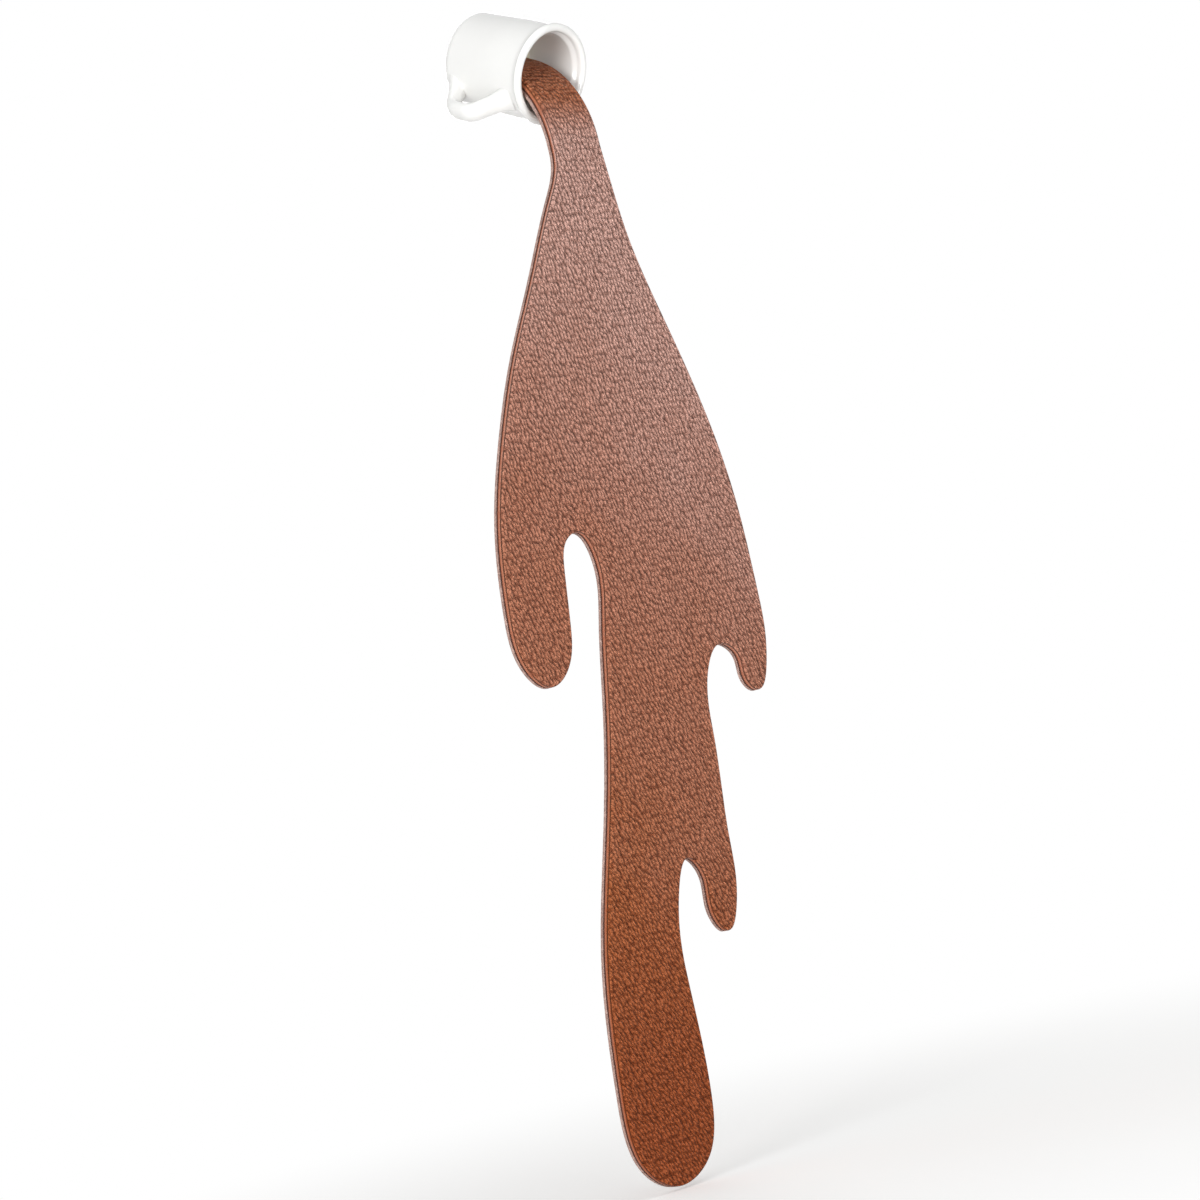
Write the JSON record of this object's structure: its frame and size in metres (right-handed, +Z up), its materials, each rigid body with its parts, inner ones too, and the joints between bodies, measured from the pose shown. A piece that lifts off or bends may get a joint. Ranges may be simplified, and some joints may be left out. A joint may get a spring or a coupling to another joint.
{
  "type": "bookmark",
  "caption": "Leather bookmark cut as a coffee spill with drips, pouring from a small tipped white mug that stands off the top edge of the page.",
  "frame": {"origin": "on the bare face of the lining, on the middle line of the neck, where the edge of a page crosses the blade, 6 mm below the start of the bend", "axes": "+Z up the blade towards the cup, +Y out of the lining into the page, +X to the right of someone facing the grain"},
  "size_m": [0.058, 0.0243, 0.2071],
  "materials": {
    "glaze": "glossy white glaze",
    "grain_leather": "pebbled grain, semi-matte brown",
    "lining_leather": "smooth pale brown lining",
    "bond": "dark set contact cement",
    "set_glue": "translucent beige set glue"
  },
  "bodies": {
    "spill": {"spill_face_leather": "grain_leather", "spill_bond_film": "bond", "spill_back_leather": "lining_leather", "neck_face_leather": "grain_leather", "neck_bond_film": "bond", "neck_back_leather": "lining_leather"},
    "cup": {"cup_body": "glaze", "cup_handle": "glaze", "glue_plug": "set_glue", "tongue_face_leather": "grain_leather", "tongue_bond_film": "bond", "tongue_back_leather": "lining_leather"}
  },
  "joints": [
    {"name": "neck_bend", "type": "hinge", "parent": "spill", "child": "cup", "pos_m": [0, -0.0011, 0.01843], "axis": [1, 0, 0], "range_deg": [-15, 60], "stiffness_Nm_per_rad": 0.017, "springref_deg": 1.72, "deforming": ["neck_face_leather", "neck_bond_film", "neck_back_leather"]}
  ]
}
